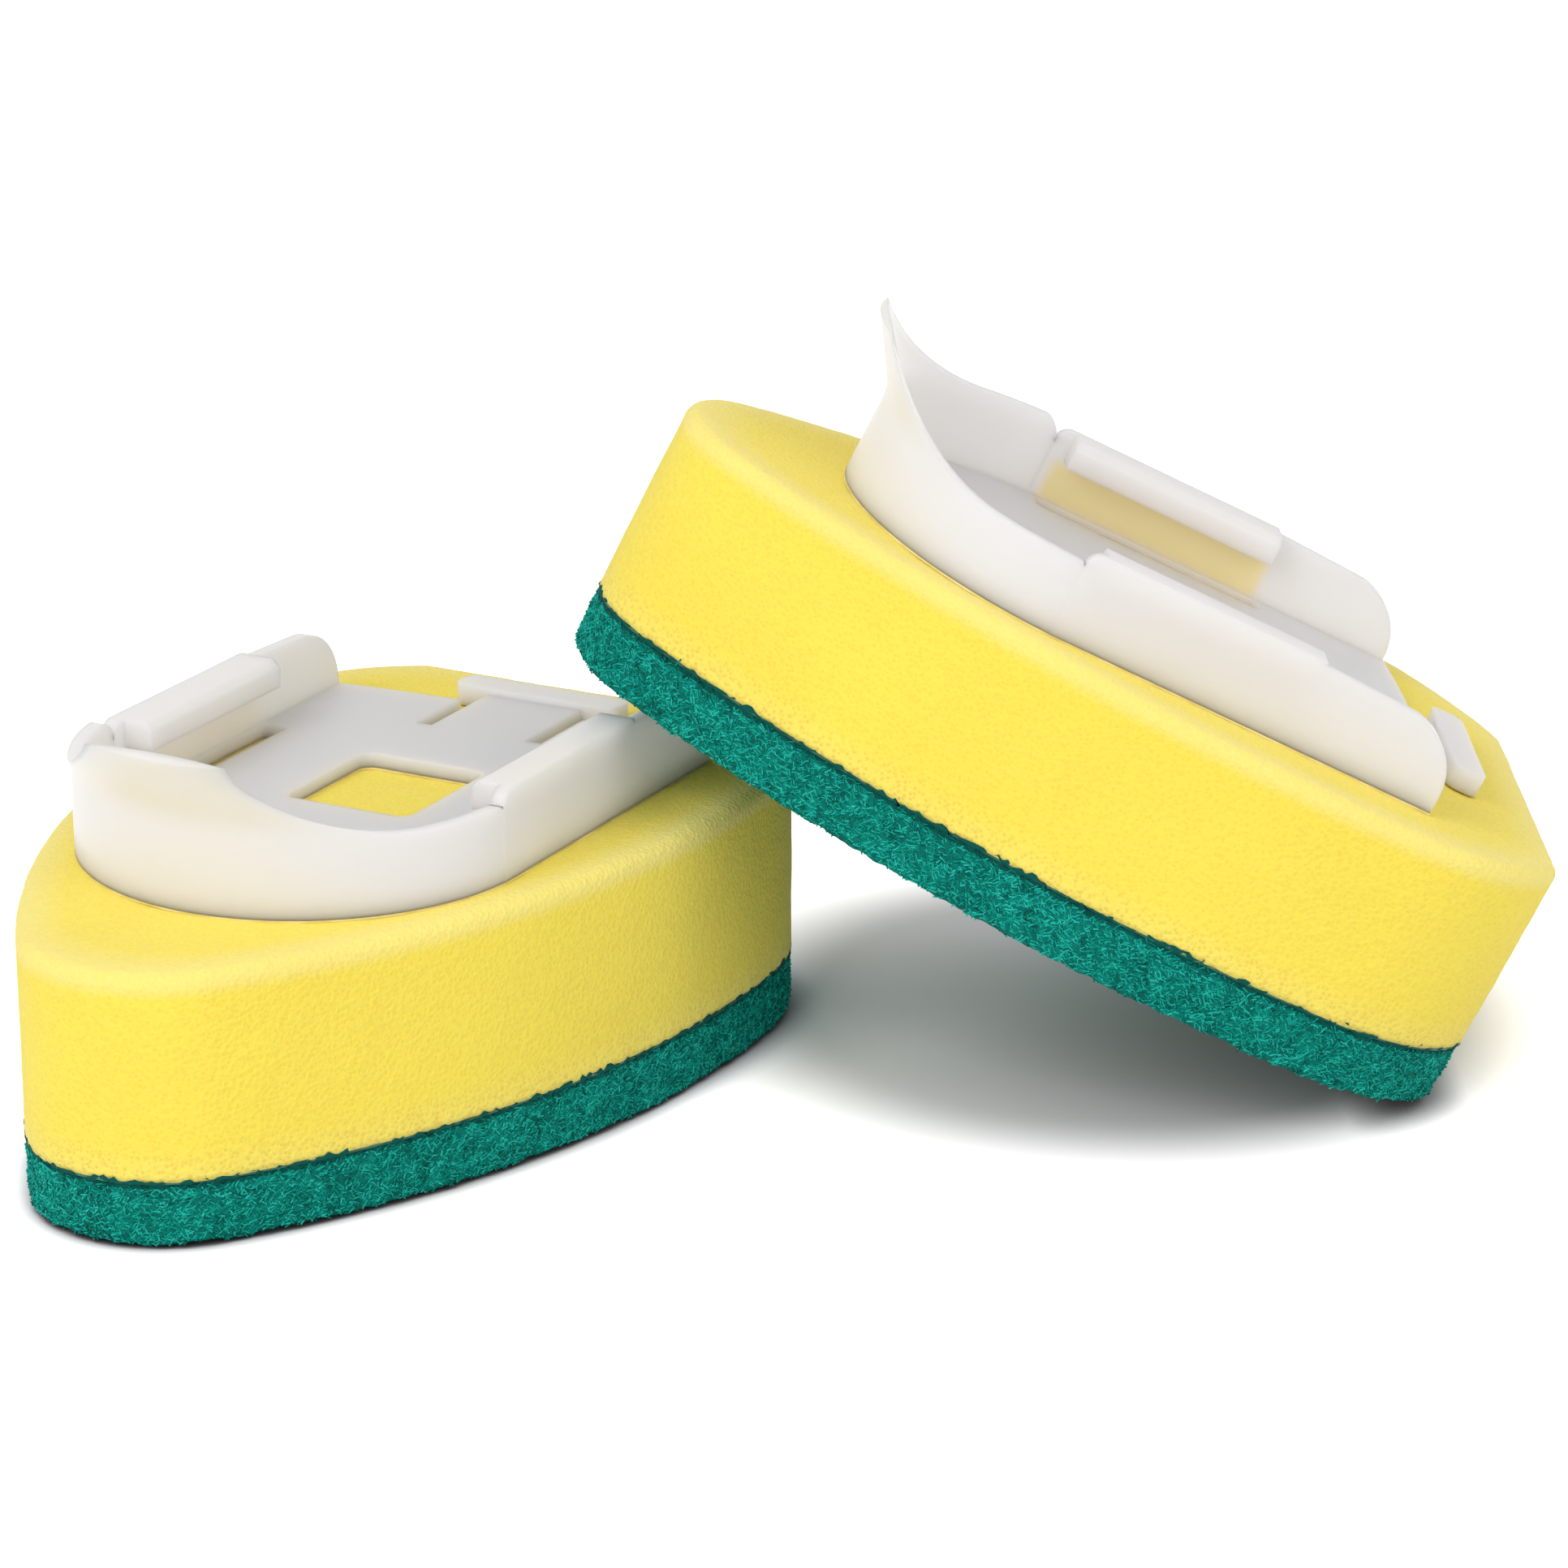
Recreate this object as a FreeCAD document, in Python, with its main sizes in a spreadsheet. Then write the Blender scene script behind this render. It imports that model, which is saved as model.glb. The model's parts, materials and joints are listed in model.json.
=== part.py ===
"""A pair of clip-on sponge heads for a dish wand: one lies on its scouring pad, the other leans on it.

Millimetres, +Z up. The origin is the middle of the lying head's scouring face, on the table.
X runs along the lying head from its rounded nose to its flat cut end, and Y runs across it.
"""
import FreeCAD, Part
import Sketcher
import math
import os

from FreeCAD import Placement, Rotation, Vector

SIZES = {
    # sponge outline, seen from above
    "head_length": 92.0,
    "head_width": 61.5,
    "nose_radius": 13.5,
    "nose_to_widest": 66.0,
    "flat_end_width": 38.0,
    "shoulder_radius": 20.0,
    # layers, from the table up
    "pad_thickness": 6.5,
    "pad_glue_thickness": 0.2,
    "foam_thickness": 20.0,
    "foam_edge_bevel": 1.0,
    "carrier_glue_thickness": 0.2,
    # carrier floor and side walls
    "carrier_setback": 16.4,
    "carrier_width": 44.8,
    "carrier_straight": 38.4,
    "floor_thickness": 1.5,
    "floor_bulge": 1.2,
    "wall_thickness": 1.5,
    "panel_lead": 2.0,
    "panel_height": 8.9,
    "panel_tail_height": 8.1,
    "panel_corner_radius": 6.4,
    "panel_front_round": 1.6,
    # thumb lip round the nose
    "lip_height": 15.9,
    "lip_bend_height": 7.8,
    "lip_bend_radius": 5.0,
    "lip_tip_thickness": 0.9,
    "lip_flank_height": 9.4,
    "lip_low_flank_height": 7.5,
    "lip_flank_length": 8.6,
    "lip_flank_round": 2.0,
    # hook rails that hold the wand's plate
    "rail_lead": 1.8,
    "rail_length": 23.0,
    "rail_reach": 4.6,
    "rail_thickness": 2.9,
    "rail_chamfer": 0.8,
    "rail_step": 0.4,
    # openings in the floor
    "side_window_width": 2.8,
    "side_window_wall_gap": 0.4,
    "side_window_margin": 1.0,
    "side_window_corner": 0.8,
    "middle_window_start": 5.9,
    "middle_window_length": 15.0,
    "middle_window_width": 14.0,
    "window_corner": 1.4,
    # spring tongue cut into the rear of the floor, and the catch bar at its end
    "tongue_width": 11.0,
    "tongue_slot_width": 1.6,
    "tongue_slot_length": 8.5,
    "tongue_reach": 2.4,
    "bar_width": 19.0,
    "bar_length": 3.4,
    "bar_height": 2.2,
    "bar_corner": 1.2,
    # how the leaning head lies on the near panel's rear corner: past it, beside it and clear of it
    "lean_overhang": 12.2,
    "lean_aside": 0.4,
    "lean_clearance": 0.3,
    # how far a cut runs past what it cuts
    "cut_overrun": 5.0,
}
LIP_LEAN_DEGREES = 32.0
LEAN_TURN_DEGREES = -61.0
BEVEL_DEGREES = 45.0
PROFILE_STEPS = 24

doc = FreeCAD.newDocument("sponge_heads")
sheet = doc.addObject("Spreadsheet::Sheet", "Sizes")
for row, (alias, value) in enumerate(SIZES.items(), start=1):
    sheet.set(f"A{row}", alias)
    sheet.set(f"B{row}", str(value))
    sheet.setAlias(f"B{row}", alias)
doc.recompute()


def size(alias):
    """A named size as a number."""
    return float(getattr(sheet, alias))


def cell(alias):
    """The expression that reads a named size."""
    return f"Sizes.{alias}"


def datum(body, role):
    """One of the body's own origin planes or axes."""
    return next(item for item in body.Origin.OriginFeatures if item.Role == role)


def line(start, end):
    """A straight sketch edge."""
    return Part.LineSegment(Vector(*start, 0), Vector(*end, 0))


def arc(centre, start, end):
    """The shorter sketch arc about a centre."""
    along = Vector(start[0] - centre[0], start[1] - centre[1], 0)
    along = along + Vector(end[0] - centre[0], end[1] - centre[1], 0)
    middle = Vector(*centre, 0) + along.normalize() * math.dist(centre, start)
    return Part.Arc(Vector(*start, 0), middle, Vector(*end, 0))


def rounded_box(x_low, x_high, y_low, y_high, radius):
    """The edges of a rectangle with round corners."""
    corners = [
        (x_high, y_high, 1, 1),
        (x_low, y_high, -1, 1),
        (x_low, y_low, -1, -1),
        (x_high, y_low, 1, -1),
    ]
    edges = []
    ends = []
    for x, y, side_x, side_y in corners:
        centre = (x - side_x * radius, y - side_y * radius)
        on_side = (x, centre[1])
        on_top = (centre[0], y)
        start, end = (on_side, on_top) if side_x == side_y else (on_top, on_side)
        edges.append(arc(centre, start, end))
        ends.append((start, end))
    for (_, end), (start, _) in zip(ends, ends[1:] + ends[:1]):
        edges.append(line(end, start))
    return edges


def shared_ends(sketch):
    """Pairs of edge ends that lie on one point, as edge, end, edge, end."""
    ends = [(edge, end, sketch.getPoint(edge, end)) for edge in range(sketch.GeometryCount) for end in (1, 2)]
    pairs = []
    for place, (edge, end, point) in enumerate(ends):
        for other, other_end, other_point in ends[place + 1:]:
            if other != edge and point.isEqual(other_point, 1e-6):
                pairs.append((edge, end, other, other_end))
    return pairs


def new_sketch(body, name, role, offset=0.0):
    """An empty sketch on one of the body's planes, moved along its normal."""
    sketch = body.newObject("Sketcher::SketchObject", name)
    sketch.AttachmentSupport = [(datum(body, role), "")]
    sketch.MapMode = "FlatFace"
    sketch.AttachmentOffset = Placement(Vector(0, 0, offset), Rotation())
    return sketch


def profile(body, name, role, edges, offset=0.0):
    """A closed sketch whose edges are joined end to end."""
    sketch = new_sketch(body, name, role, offset)
    for edge in edges:
        sketch.addGeometry(edge, False)
    for pair in shared_ends(sketch):
        sketch.addConstraint(Sketcher.Constraint("Coincident", *pair))
    return sketch


def pad(body, name, sketch, alias):
    """A pad as long as a named size."""
    feature = body.newObject("PartDesign::Pad", name)
    feature.Profile = sketch
    feature.setExpression("Length", cell(alias))
    return feature


def outline_centres():
    """Centres and radii of the sponge outline's arcs, on the +Y half."""
    length = size("head_length")
    half_width = size("head_width") / 2
    nose_radius = size("nose_radius")
    shoulder_radius = size("shoulder_radius")
    nose = (nose_radius - length / 2, 0.0)
    widest = size("nose_to_widest") - length / 2
    run = widest - nose[0]
    side_radius = (run ** 2 + half_width ** 2 - nose_radius ** 2) / (2 * (half_width - nose_radius))
    side = (widest, half_width - side_radius)
    corner = (length / 2, size("flat_end_width") / 2)
    reach = math.dist(side, corner)
    inner = side_radius - shoulder_radius
    along = (inner ** 2 - shoulder_radius ** 2 + reach ** 2) / (2 * reach)
    aside = math.sqrt(inner ** 2 - along ** 2)
    step_x = (corner[0] - side[0]) / reach
    step_y = (corner[1] - side[1]) / reach
    shoulder = (side[0] + along * step_x - aside * step_y, side[1] + along * step_y + aside * step_x)
    return nose, side, side_radius, shoulder, corner


def toward(start, end, distance):
    """The point at a distance from start along the way to end."""
    share = distance / math.dist(start, end)
    return (start[0] + (end[0] - start[0]) * share, start[1] + (end[1] - start[1]) * share)


def flip(point):
    """A point's mirror image across the X axis."""
    return (point[0], -point[1])


def sponge_sketch(body, name):
    """The sponge outline: round nose, two long side arcs, two shoulders and a flat cut end."""
    nose, side, side_radius, shoulder, corner = outline_centres()
    nose_end = toward(side, nose, side_radius)
    side_end = toward(side, shoulder, side_radius)
    sketch = new_sketch(body, name, "XY_Plane")
    nose_arc = sketch.addGeometry(arc(nose, nose_end, flip(nose_end)), False)
    upper_side = sketch.addGeometry(arc(side, nose_end, side_end), False)
    upper_shoulder = sketch.addGeometry(arc(shoulder, side_end, corner), False)
    flat_end = sketch.addGeometry(line(corner, flip(corner)), False)
    lower_shoulder = sketch.addGeometry(arc(flip(shoulder), flip(corner), flip(side_end)), False)
    lower_side = sketch.addGeometry(arc(flip(side), flip(side_end), flip(nose_end)), False)
    for first, first_end, second, second_end in shared_ends(sketch):
        kind = "Coincident" if flat_end in (first, second) else "Tangent"
        sketch.addConstraint(Sketcher.Constraint(kind, first, first_end, second, second_end))
    half_width = size("head_width") / 2
    width_line = sketch.addGeometry(line((0, half_width), (corner[0], half_width)), True)
    sketch.addConstraint(Sketcher.Constraint("Horizontal", width_line))
    sketch.addConstraint(Sketcher.Constraint("Tangent", upper_side, width_line))
    sketch.addConstraint(Sketcher.Constraint("PointOnObject", nose_arc, 3, -1))
    sketch.addConstraint(Sketcher.Constraint("Symmetric", upper_side, 3, lower_side, 3, -1))
    sketch.addConstraint(Sketcher.Constraint("Symmetric", flat_end, 1, flat_end, 2, -1))
    sketch.addConstraint(Sketcher.Constraint("Equal", upper_shoulder, lower_shoulder))
    half_length = f"{cell('head_length')} / 2"
    bound = [
        (("Radius", nose_arc), size("nose_radius"), cell("nose_radius")),
        (("Radius", upper_shoulder), size("shoulder_radius"), cell("shoulder_radius")),
        (("DistanceX", nose_arc, 3, -1, 1), -nose[0], f"{half_length} - {cell('nose_radius')}"),
        (("DistanceX", -1, 1, flat_end, 1), corner[0], half_length),
        (("DistanceX", -1, 1, upper_side, 3), side[0], f"{cell('nose_to_widest')} - {half_length}"),
        (("DistanceY", flat_end, 2, flat_end, 1), 2 * corner[1], cell("flat_end_width")),
        (("DistanceY", -1, 1, width_line, 1), half_width, f"{cell('head_width')} / 2"),
    ]
    for words, value, expression in bound:
        index = sketch.addConstraint(Sketcher.Constraint(*words, value))
        sketch.setExpression(f"Constraints[{index}]", expression)
    return sketch


def sponge_layer(label, alias):
    """One flat layer of the sponge, as thick as a named size."""
    body = doc.addObject("PartDesign::Body", label)
    pad(body, f"{label}_layer", sponge_sketch(body, f"{label}_outline"), alias)
    doc.recompute()
    return body


def foam_sponge(label):
    """The foam block: a straight part, then a rim that draws in as far as it is high."""
    body = doc.addObject("PartDesign::Body", label)
    straight = pad(body, f"{label}_straight", sponge_sketch(body, f"{label}_outline"), "foam_thickness")
    straight.setExpression("Length", f"{cell('foam_thickness')} - {cell('foam_edge_bevel')}")
    rim_sketch = sponge_sketch(body, f"{label}_rim_outline")
    rim_start = size("foam_thickness") - size("foam_edge_bevel")
    rim_sketch.AttachmentOffset = Placement(Vector(0, 0, rim_start), Rotation())
    rim = pad(body, f"{label}_rim", rim_sketch, "foam_edge_bevel")
    rim.TaperAngle = -BEVEL_DEGREES
    doc.recompute()
    return body


def carrier_floor(body, label, alias, slots):
    """The carrier's floor with its windows and rear slots; the origin is the centre of the nose arc.

    slots gives the lower and upper edge of each slot from the rear, out to the tongue slots' outer edges.
    """
    radius = size("carrier_width") / 2
    rear = size("carrier_straight")
    bulge = size("floor_bulge")
    rear_radius = (radius ** 2 + bulge ** 2) / (2 * bulge)
    rear_centre = (rear + bulge - rear_radius, 0.0)
    edges = [
        Part.Arc(Vector(0, radius, 0), Vector(-radius, 0, 0), Vector(0, -radius, 0)),
        line((0, -radius), (rear, -radius)),
        arc(rear_centre, (rear, -radius), (rear, radius)),
        line((rear, radius), (0, radius)),
    ]
    corner = size("side_window_corner")
    start = rail_start() - size("side_window_margin")
    end = rail_start() + size("rail_length") + size("side_window_margin")
    outer = radius - size("wall_thickness") - size("side_window_wall_gap")
    inner = outer - size("side_window_width")
    middle_start = size("middle_window_start")
    middle_end = middle_start + size("middle_window_length")
    half_middle = size("middle_window_width") / 2
    edges += rounded_box(start, end, inner, outer, corner)
    edges += rounded_box(start, end, -outer, -inner, corner)
    edges += rounded_box(middle_start, middle_end, -half_middle, half_middle, size("window_corner"))
    pad(body, f"{label}_floor", profile(body, f"{label}_floor_outline", "XY_Plane", edges), alias)
    doc.recompute()
    slot_end = rear + bulge + size("cut_overrun")
    slot_start = rear + bulge - size("tongue_slot_length")
    slot_outer = size("tongue_width") / 2 + size("tongue_slot_width")
    edges = []
    for low, high in slots(slot_outer):
        corners = [(slot_start, low), (slot_end, low), (slot_end, high), (slot_start, high)]
        edges += [line(first, second) for first, second in zip(corners, corners[1:] + corners[:1])]
    cut = body.newObject("PartDesign::Pocket", f"{label}_slots")
    cut.Profile = profile(body, f"{label}_slot_outline", "XY_Plane", edges)
    cut.Midplane = True
    cut.setExpression("Length", f"2 * ({cell(alias)} + {cell('cut_overrun')})")
    doc.recompute()


def rail_start():
    """Where a hook rail begins, back from the centre of the nose arc."""
    return size("rail_lead") - size("panel_lead")


def lip_profile():
    """The thumb lip's section in front of the nose: upright, bent, then leaning out to a thin tip."""
    radius = size("carrier_width") / 2
    wall = size("wall_thickness")
    bend_height = size("lip_bend_height")
    bend = size("lip_bend_radius")
    lean = math.radians(LIP_LEAN_DEGREES)
    centre = (-radius - bend, bend_height)
    outer_end = (centre[0] + bend * math.cos(lean), centre[1] + bend * math.sin(lean))
    inner_end = (centre[0] + (bend + wall) * math.cos(lean), centre[1] + (bend + wall) * math.sin(lean))
    rise = size("lip_height") - outer_end[1]
    outer_tip = (outer_end[0] - rise * math.tan(lean), size("lip_height"))
    tip = size("lip_tip_thickness")
    inner_tip = (outer_tip[0] + tip * math.cos(lean), outer_tip[1] + tip * math.sin(lean))
    edges = [
        line((-radius, 0), (-radius, bend_height)),
        arc(centre, (-radius, bend_height), outer_end),
        line(outer_end, outer_tip),
        line(outer_tip, inner_tip),
        line(inner_tip, inner_end),
        arc(centre, inner_end, (wall - radius, bend_height)),
        line((wall - radius, bend_height), (wall - radius, 0)),
        line((wall - radius, 0), (-radius, 0)),
    ]
    return edges, inner_tip


def lip_sweep(tip, flank, round_end):
    """The side view of what is cut off one side of the lip, from its tip down to one flank."""
    floor = size("floor_thickness")
    overrun = size("cut_overrun")
    flank_end = -size("panel_lead")
    sweep_end = (flank_end - size("lip_flank_length"), flank)
    drop = tip[1] - flank
    sweep_radius = ((sweep_end[0] - tip[0]) ** 2 + drop ** 2) / (2 * drop)
    high = tip[1] + overrun
    round_centre = (flank_end - round_end, flank - round_end)
    edges = [
        arc((sweep_end[0], flank + sweep_radius), tip, sweep_end),
        line(sweep_end, (round_centre[0], flank)),
        line((flank_end, round_centre[1]), (flank_end, floor)),
        line((flank_end, floor), (overrun, floor)),
        line((overrun, floor), (overrun, high)),
        line((overrun, high), (tip[0], high)),
        line((tip[0], high), tip),
    ]
    if round_end:
        edges.append(arc(round_centre, (round_centre[0], flank), (flank_end, round_centre[1])))
    return edges


def thumb_lip(body, label):
    """The lip turned round the nose, its top swept down to a high round flank and a low straight one."""
    edges, tip = lip_profile()
    turned = body.newObject("PartDesign::Revolution", f"{label}_lip")
    turned.Profile = profile(body, f"{label}_lip_section", "XZ_Plane", edges)
    turned.ReferenceAxis = (datum(body, "Z_Axis"), [""])
    turned.Angle = 180
    turned.Midplane = True
    doc.recompute()
    sides = [
        ("high_flank", "lip_flank_height", size("lip_flank_round"), False),
        ("low_flank", "lip_low_flank_height", 0.0, True),
    ]
    for name, alias, round_end, reverse in sides:
        cut = body.newObject("PartDesign::Pocket", f"{label}_{name}")
        edges = lip_sweep(tip, size(alias), round_end)
        cut.Profile = profile(body, f"{label}_{name}_side_view", "XZ_Plane", edges)
        cut.Reversed = reverse
        cut.setExpression("Length", f"{cell('carrier_width')} + {cell('cut_overrun')}")
        doc.recompute()


def panel_top():
    """Points along the top of a side panel behind its rail: a slope, then a round rear corner."""
    rail_end = rail_start() + size("rail_length")
    corner = size("panel_corner_radius")
    centre = (size("carrier_straight") - corner, size("panel_tail_height") - corner)
    round_rear = []
    for step in range(PROFILE_STEPS + 1):
        turn = math.pi / 2 * (1 - step / PROFILE_STEPS)
        round_rear.append((centre[0] + corner * math.cos(turn), centre[1] + corner * math.sin(turn)))
    return (rail_end, size("panel_height") - size("rail_step")), centre, round_rear


def side_panels(body, label):
    """The two side panels with their hook rails, one drawn and the other mirrored."""
    radius = size("carrier_width") / 2
    wall = size("wall_thickness")
    height = size("panel_height")
    start = -size("panel_lead")
    front_centre = (start + size("panel_front_round"), height - size("panel_front_round"))
    slope_start, corner_centre, round_rear = panel_top()
    edges = [
        line((start, 0), (start, front_centre[1])),
        arc(front_centre, (start, front_centre[1]), (front_centre[0], height)),
        line((front_centre[0], height), (slope_start[0], height)),
        line((slope_start[0], height), slope_start),
        line(slope_start, round_rear[0]),
        arc(corner_centre, round_rear[0], round_rear[-1]),
        line(round_rear[-1], (size("carrier_straight"), 0)),
        line((size("carrier_straight"), 0), (start, 0)),
    ]
    side_view = profile(body, f"{label}_panel_side_view", "XZ_Plane", edges, radius - wall)
    panel = pad(body, f"{label}_panel", side_view, "wall_thickness")
    doc.recompute()
    inner = radius - size("rail_reach")
    under = height - size("rail_thickness")
    chamfer = size("rail_chamfer")
    section = [
        (wall / 2 - radius, under),
        (-inner, under),
        (-inner, height - chamfer),
        (-inner - chamfer, height),
        (wall / 2 - radius, height),
    ]
    edges = [line(first, second) for first, second in zip(section, section[1:] + section[:1])]
    rail_section = profile(body, f"{label}_rail_section", "YZ_Plane", edges, rail_start())
    rail = pad(body, f"{label}_rail", rail_section, "rail_length")
    doc.recompute()
    both = body.newObject("PartDesign::Mirrored", f"{label}_far_side")
    both.Originals = [panel, rail]
    both.MirrorPlane = (datum(body, "XZ_Plane"), [""])
    body.Tip = both
    doc.recompute()


def catch_bar(body, label):
    """The spring tongue's end behind the floor and the raised bar across it."""
    tongue_start = size("carrier_straight")
    tongue_end = tongue_start + size("floor_bulge") + size("tongue_reach")
    half = size("tongue_width") / 2
    corners = [(tongue_start, -half), (tongue_end, -half), (tongue_end, half), (tongue_start, half)]
    edges = [line(first, second) for first, second in zip(corners, corners[1:] + corners[:1])]
    tongue = profile(body, f"{label}_tongue_outline", "XY_Plane", edges)
    pad(body, f"{label}_tongue", tongue, "floor_thickness")
    half_bar = size("bar_width") / 2
    edges = rounded_box(tongue_end, tongue_end + size("bar_length"), -half_bar, half_bar, size("bar_corner"))
    bar = profile(body, f"{label}_bar_outline", "XY_Plane", edges)
    pad(body, f"{label}_bar", bar, "bar_height")
    doc.recompute()


def tongue_slots(outer):
    """The two narrow slots that free the tongue, each as its lower and upper edge."""
    inner = size("tongue_width") / 2
    return [(-outer, -inner), (inner, outer)]


def tongue_gap(outer):
    """One wide gap under the whole tongue, which is left unglued so that it can bend."""
    return [(-outer, outer)]


def carrier_clip(label):
    """The one-piece moulded carrier that slides onto the wand."""
    body = doc.addObject("PartDesign::Body", label)
    carrier_floor(body, label, "floor_thickness", tongue_slots)
    thumb_lip(body, label)
    side_panels(body, label)
    catch_bar(body, label)
    return body


def carrier_glue(label):
    """The film of glue under the carrier's floor."""
    body = doc.addObject("PartDesign::Body", label)
    carrier_floor(body, label, "carrier_glue_thickness", tongue_gap)
    return body


def carrier_place():
    """The carrier's origin along a head."""
    return size("carrier_setback") + size("carrier_width") / 2 - size("head_length") / 2


def sponge_height():
    """Height of a head up to the underside of the carrier's floor."""
    layers = ("pad_thickness", "pad_glue_thickness", "foam_thickness", "carrier_glue_thickness")
    return sum(size(layer) for layer in layers)


def lean_foot(corner_x, corner_height):
    """Where the middle of the leaning head's flat end stands, from the panel corner that it lies on."""
    turn = math.radians(LEAN_TURN_DEGREES)
    reach = size("head_length") - size("lean_overhang")
    run = math.sqrt(reach ** 2 - corner_height ** 2)
    foot_x = corner_x + run * math.cos(turn) + size("lean_aside") * math.sin(turn)
    foot_y = -size("carrier_width") / 2 + run * math.sin(turn) - size("lean_aside") * math.cos(turn)
    return foot_x, foot_y


def lean_placement():
    """The leaning head stands on its flat end and rests on the near panel of the lying head's carrier."""
    turn = math.radians(LEAN_TURN_DEGREES)
    slope_start, _, round_rear = panel_top()
    foot_x, foot_y = lean_foot(carrier_place() + round_rear[0][0], sponge_height() + round_rear[0][1])
    run_y = foot_y + size("carrier_width") / 2
    pitch = 0.0
    for along, up in [(slope_start[0], size("panel_height")), *round_rear]:
        run_x = foot_x - carrier_place() - along
        run = run_x * math.cos(turn) + run_y * math.sin(turn)
        rise = sponge_height() + up
        spare = math.asin(size("lean_clearance") / math.hypot(run, rise))
        pitch = max(pitch, math.atan2(rise, run) + spare)
    yaw = Rotation(Vector(0, 0, 1), math.degrees(turn))
    tilt = yaw.multiply(Rotation(Vector(0, 1, 0), math.degrees(pitch)))
    middle = tilt.multVec(Vector(size("head_length") / 2, 0, 0))
    return Placement(Vector(foot_x, foot_y, 0) - middle, tilt)


def build_head(name, placement):
    """All the layers of one head, stacked and set in place."""
    stack = [
        ("scour_pad", lambda label: sponge_layer(label, "pad_thickness"), "pad_thickness", 0.0),
        ("pad_glue", lambda label: sponge_layer(label, "pad_glue_thickness"), "pad_glue_thickness", 0.0),
        ("foam_sponge", foam_sponge, "foam_thickness", 0.0),
        ("carrier_glue", carrier_glue, "carrier_glue_thickness", carrier_place()),
        ("carrier_clip", carrier_clip, None, carrier_place()),
    ]
    height = 0.0
    bodies = []
    for piece, make, thickness, along in stack:
        body = make(f"{name}_{piece}")
        body.Label = f"{name}_{piece}"
        body.Placement = placement.multiply(Placement(Vector(along, 0, height), Rotation()))
        bodies.append(body)
        height += size(thickness) if thickness else 0.0
    return bodies


bodies = build_head("resting", Placement()) + build_head("leaning", lean_placement())
doc.recompute()
for item in doc.Objects:
    if "Invalid" in item.State or "Error" in item.State:
        raise RuntimeError(f"{item.Label} did not build: {item.State}")
os.makedirs("parts", exist_ok=True)
for body in bodies:
    if body.Shape.isNull() or not body.Shape.isValid() or len(body.Shape.Solids) != 1:
        raise RuntimeError(f"{body.Label} is not one sound solid")
    body.Shape.exportStep(f"parts/{body.Label}.step")
    print(body.Label, round(body.Shape.Volume, 2), body.Shape.BoundBox)
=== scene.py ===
"""Dresses a pair of clip-on sponge heads for a dish wand: foam, scouring pads, carriers and glue.

Metres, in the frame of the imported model. A head's own frame has its origin in the middle of its scouring
face, X from the round nose to the flat cut end, Y across and Z from the scouring face to the carrier.
"""
import json
import logging
import math
from dataclasses import dataclass, field
from enum import Enum

import bpy
import numpy as np
from mathutils import Matrix, Vector


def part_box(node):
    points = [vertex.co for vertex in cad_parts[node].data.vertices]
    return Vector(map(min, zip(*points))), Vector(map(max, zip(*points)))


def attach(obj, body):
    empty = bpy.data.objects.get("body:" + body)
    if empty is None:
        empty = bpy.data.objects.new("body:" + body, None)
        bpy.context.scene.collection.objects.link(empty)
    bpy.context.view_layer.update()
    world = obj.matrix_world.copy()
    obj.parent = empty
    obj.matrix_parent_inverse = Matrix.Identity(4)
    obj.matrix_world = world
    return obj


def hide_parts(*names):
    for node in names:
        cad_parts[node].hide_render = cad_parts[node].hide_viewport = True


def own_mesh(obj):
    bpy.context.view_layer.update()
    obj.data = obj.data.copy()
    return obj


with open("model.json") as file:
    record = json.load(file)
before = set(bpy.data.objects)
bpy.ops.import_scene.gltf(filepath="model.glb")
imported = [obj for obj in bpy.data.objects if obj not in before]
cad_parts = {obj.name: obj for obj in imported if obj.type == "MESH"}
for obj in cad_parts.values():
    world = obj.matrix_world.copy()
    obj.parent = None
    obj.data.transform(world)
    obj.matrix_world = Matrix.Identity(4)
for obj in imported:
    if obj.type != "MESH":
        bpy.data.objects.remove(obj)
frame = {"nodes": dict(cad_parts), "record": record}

log = logging.getLogger("sponge_heads")
MM = 0.001
IMAGE_SIDE = 1932


class Head(Enum):
    """The two heads of the pair."""

    RESTING = "resting"
    LEANING = "leaning"

    def seed(self) -> int:
        """The head's own number, so that the two heads differ in their grain."""
        return list(Head).index(self) + 1


class Slot(Enum):
    """The record's material slots for the pieces that are modelled here."""

    SCOUR = "scour_fibre"
    FOAM = "sponge_foam"


def linear(code: str) -> tuple[float, float, float, float]:
    """Turn an sRGB hex value to a linear colour.

    Args:
        code: Six hex digits.

    Returns:
        Red, green, blue and an alpha of one.
    """
    parts = [int(code[at:at + 2], 16) / 255 for at in (0, 2, 4)]
    return tuple(v / 12.92 if v <= 0.04045 else ((v + 0.055) / 1.055) ** 2.4 for v in parts) + (1.0,)


def add_node(
    tree: bpy.types.NodeTree, kind: str, feeds: dict | None = None, **settings
) -> bpy.types.Node:
    """Add a node, set its options, and fill or link its inputs.

    Args:
        tree: The tree that takes the node.
        kind: Blender's type name for the node.
        feeds: Input names or places, each with a value or with another node's output.
        settings: The node's own options.

    Returns:
        The new node.
    """
    node = tree.nodes.new(kind)
    for name, value in settings.items():
        setattr(node, name, value)
    for key, value in (feeds or {}).items():
        if isinstance(value, bpy.types.NodeSocket):
            tree.links.new(value, node.inputs[key])
        else:
            node.inputs[key].default_value = value
    return node


def blank_material(name: str) -> tuple[bpy.types.Material, bpy.types.NodeTree]:
    """Make a material with an empty node tree.

    Args:
        name: The material's name.

    Returns:
        The material and its tree.
    """
    material = bpy.data.materials.new(name)
    material.use_nodes = True
    material.node_tree.nodes.clear()
    return material, material.node_tree


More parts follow.
